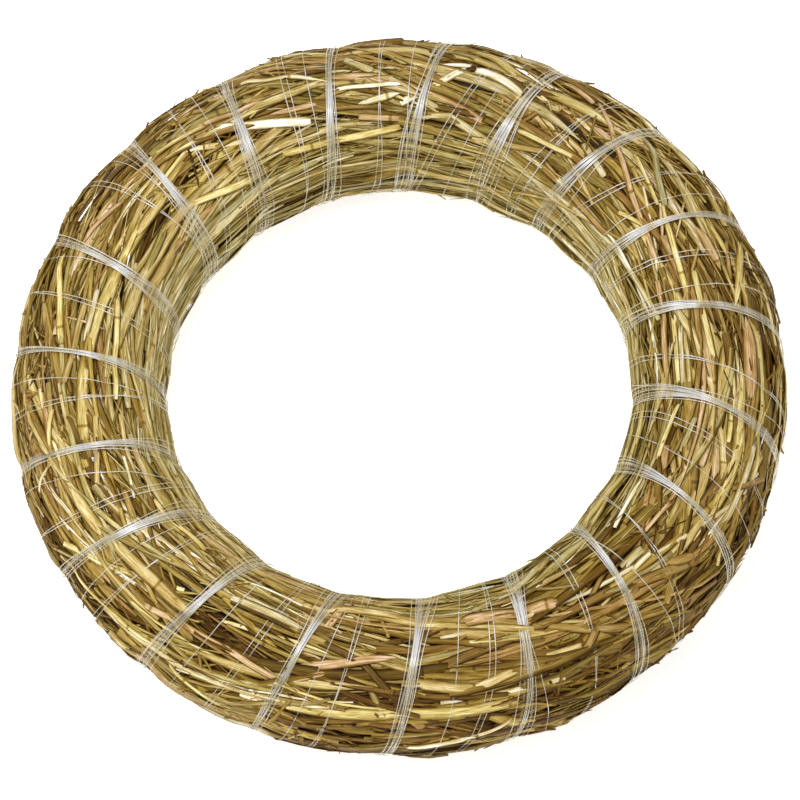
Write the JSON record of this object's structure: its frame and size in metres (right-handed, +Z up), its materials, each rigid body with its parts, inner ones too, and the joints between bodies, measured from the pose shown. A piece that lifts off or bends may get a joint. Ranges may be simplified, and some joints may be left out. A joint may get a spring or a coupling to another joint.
{
  "type": "straw wreath",
  "caption": "Round roll of dry straw bent into a closed ring and wound all round with clear thread, a base that flowers and greenery are pinned or tied to.",
  "frame": {"origin": "centre of the ring, on the flat surface that the wreath lies on", "axes": "+Z up, along the ring's axis; +Y points away from the viewer of the picture; +X to the right"},
  "size_m": [0.2982, 0.2981, 0.0583],
  "materials": {
    "straw": "matte",
    "stalk": "satin",
    "thread": "gloss"
  },
  "bodies": {
    "root": {"straw_roll": "straw", "binding_thread": "thread", "outer_stalk_01": "stalk", "outer_stalk_02": "stalk", "outer_stalk_03": "stalk", "outer_stalk_04": "stalk", "outer_stalk_05": "stalk", "outer_stalk_06": "stalk", "outer_stalk_07": "stalk", "outer_stalk_08": "stalk", "outer_stalk_09": "stalk", "outer_stalk_10": "stalk", "outer_stalk_11": "stalk", "outer_stalk_12": "stalk", "outer_stalk_13": "stalk", "outer_stalk_14": "stalk", "outer_stalk_15": "stalk", "outer_stalk_16": "stalk", "outer_stalk_17": "stalk", "outer_stalk_18": "stalk", "outer_stalk_19": "stalk", "outer_stalk_20": "stalk", "outer_stalk_21": "stalk", "outer_stalk_22": "stalk"}
  },
  "joints": []
}
